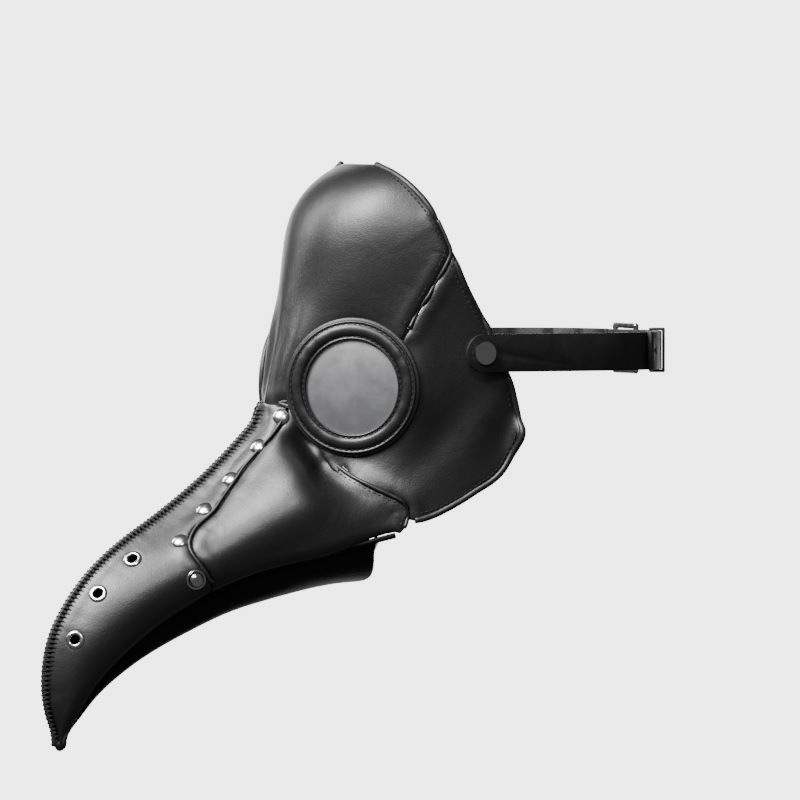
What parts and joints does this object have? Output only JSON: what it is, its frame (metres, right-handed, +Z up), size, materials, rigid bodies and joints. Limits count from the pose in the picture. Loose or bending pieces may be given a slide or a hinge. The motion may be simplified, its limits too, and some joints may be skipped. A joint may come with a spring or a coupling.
{
  "type": "plague doctor mask",
  "caption": "Stitched leather plague doctor mask with a long curved beak, round padded eyepieces, studs, eyelets and a buckled head strap.",
  "frame": {"origin": "middle of the wearer's head opening, between the strap pivots and level with the eyepiece centres", "axes": "+Z up, -Y the way the wearer looks (the beak), +X the wearer's left"},
  "size_m": [0.161, 0.348, 0.3042],
  "materials": {
    "leather": "semi-gloss grained",
    "leather_trim": "semi-gloss, padded",
    "strap_leather": "satin",
    "thread": "twisted bonded thread",
    "nickel": "bright nickel plate",
    "buckle_metal": "polished nickel plate",
    "lens": "satin mirror tint",
    "retainer": "moulded"
  },
  "bodies": {
    "mask": {"beak_panel_left": "leather", "beak_panel_right": "leather", "cheek_panel_left": "leather", "cheek_panel_right": "leather", "temple_panel_left": "leather", "temple_panel_right": "leather", "forehead_panel": "leather", "beak_underside": "leather", "ridge_lacing": "thread", "rivet_caps_left": "nickel", "rivet_caps_right": "nickel", "rivet_backs_left": "nickel", "rivet_backs_right": "nickel", "eyelets_left": "nickel", "eyelets_right": "nickel", "eyelet_washers_left": "nickel", "eyelet_washers_right": "nickel", "corner_studs_left": "nickel", "corner_studs_right": "nickel", "stud_rings_left": "nickel", "stud_rings_right": "nickel", "lens_retainer_left": "retainer", "lens_retainer_right": "retainer", "lens_left": "lens", "lens_right": "lens", "eye_backing_left": "leather_trim", "eye_backing_right": "leather_trim", "eye_bezel_left": "leather_trim", "eye_bezel_right": "leather_trim", "pivot_rivet_left": "nickel", "pivot_washer_left": "nickel", "pivot_rivet_right": "nickel", "pivot_washer_right": "nickel"},
    "harness": {"strap_left": "strap_leather", "strap_right": "strap_leather", "buckle_frame": "buckle_metal"},
    "prong": {"buckle_prong": "buckle_metal"},
    "keeper": {"strap_keeper": "strap_leather"}
  },
  "joints": [
    {"name": "strap_swing", "type": "hinge", "parent": "mask", "child": "harness", "pos_m": [0, -0.012, 0.018], "axis": [1, 0, 0], "range_deg": [-30, 45]},
    {"name": "prong_lift", "type": "hinge", "parent": "harness", "child": "prong", "pos_m": [0.013, 0.11, 0.018], "axis": [0, 0, -1], "range_deg": [0, 70]},
    {"name": "keeper_slide", "type": "hinge", "parent": "harness", "child": "keeper", "pos_m": [0.02169, 0.055, 0.018], "axis": [0, 0, 1], "range_deg": [-16, 12]}
  ]
}
